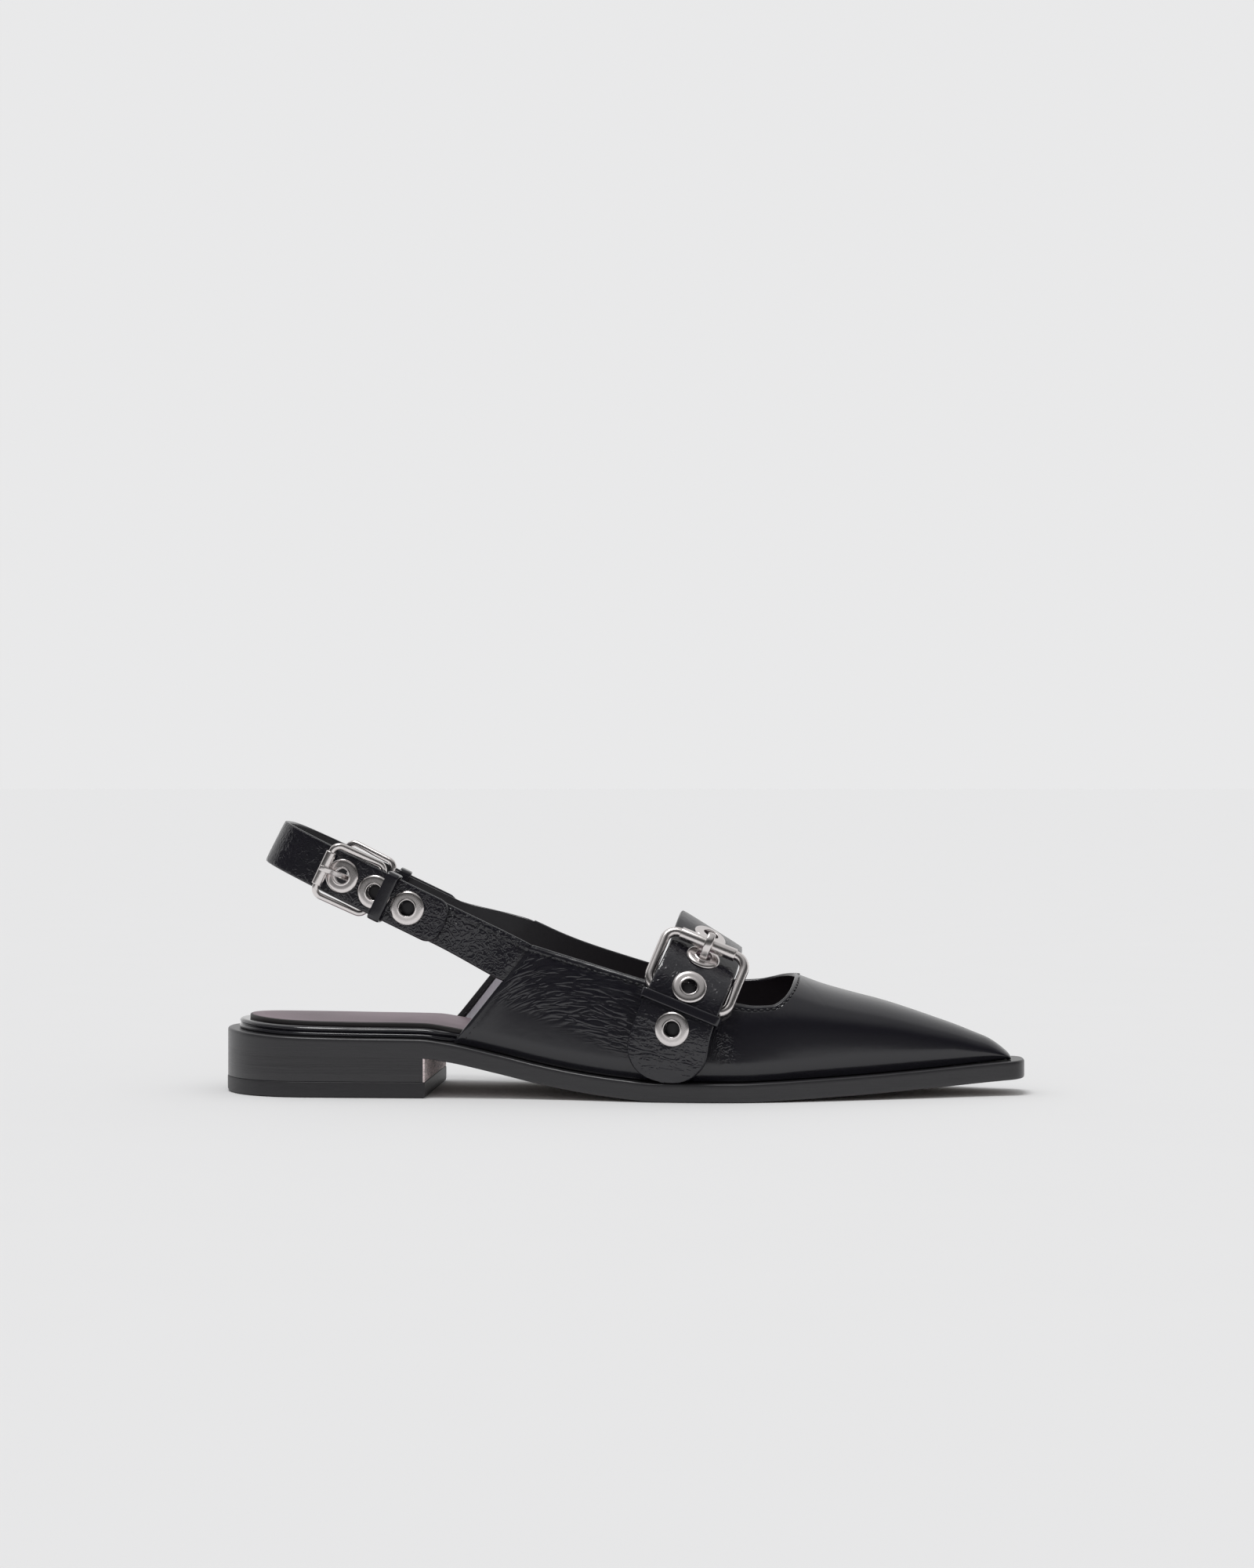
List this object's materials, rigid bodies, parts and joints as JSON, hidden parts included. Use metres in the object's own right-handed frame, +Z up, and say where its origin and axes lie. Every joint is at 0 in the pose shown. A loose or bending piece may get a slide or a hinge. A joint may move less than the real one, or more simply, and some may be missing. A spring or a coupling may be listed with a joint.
{
  "type": "slingback shoe",
  "caption": "Pointed flat slingback in crinkled black patent on a low stacked heel, with a buckled heel strap and a wide instep strap fastened by a roller buckle, trimmed with metal eyelets.",
  "frame": {"origin": "middle of the shoe's length and width, on the floor under its sole", "axes": "+X from heel to toe, +Y from the lateral to the medial side, +Z up"},
  "size_m": [0.27, 0.08, 0.0914],
  "materials": {
    "edge_leather": "satin black painted edge",
    "heel_leather": "satin black painted stack",
    "top_piece": "satin black",
    "wrap_patent": "glossy black patent",
    "sock_leather": "smooth dark plum leather",
    "upper_patent": "glossy crinkled black patent",
    "strap_patent": "glossy crinkled black patent",
    "nickel": "polished nickel"
  },
  "bodies": {
    "root": {"outsole": "edge_leather", "heel_block": "heel_leather", "heel_top_piece": "top_piece", "insole": "wrap_patent", "sock": "sock_leather", "upper": "upper_patent", "heel_strap": "strap_patent", "sling_keeper_lateral": "strap_patent", "sling_keeper_medial": "strap_patent", "sling_lateral_buckle_frame": "nickel", "sling_lateral_roller": "nickel", "sling_lateral_prong": "nickel", "sling_medial_buckle_frame": "nickel", "sling_medial_roller": "nickel", "sling_medial_prong": "nickel", "sling_eyelet_lateral_1": "nickel", "sling_eyelet_lateral_2": "nickel", "sling_eyelet_lateral_3": "nickel", "sling_eyelet_medial_1": "nickel", "sling_eyelet_medial_2": "nickel", "sling_eyelet_medial_3": "nickel", "instep_strap": "strap_patent", "instep_buckle_tab": "strap_patent", "instep_keeper": "strap_patent", "instep_buckle_frame": "nickel", "instep_roller": "nickel", "instep_prong": "nickel", "instep_eyelet_1": "nickel", "instep_eyelet_2": "nickel", "instep_eyelet_3": "nickel", "instep_eyelet_4": "nickel"}
  },
  "joints": []
}
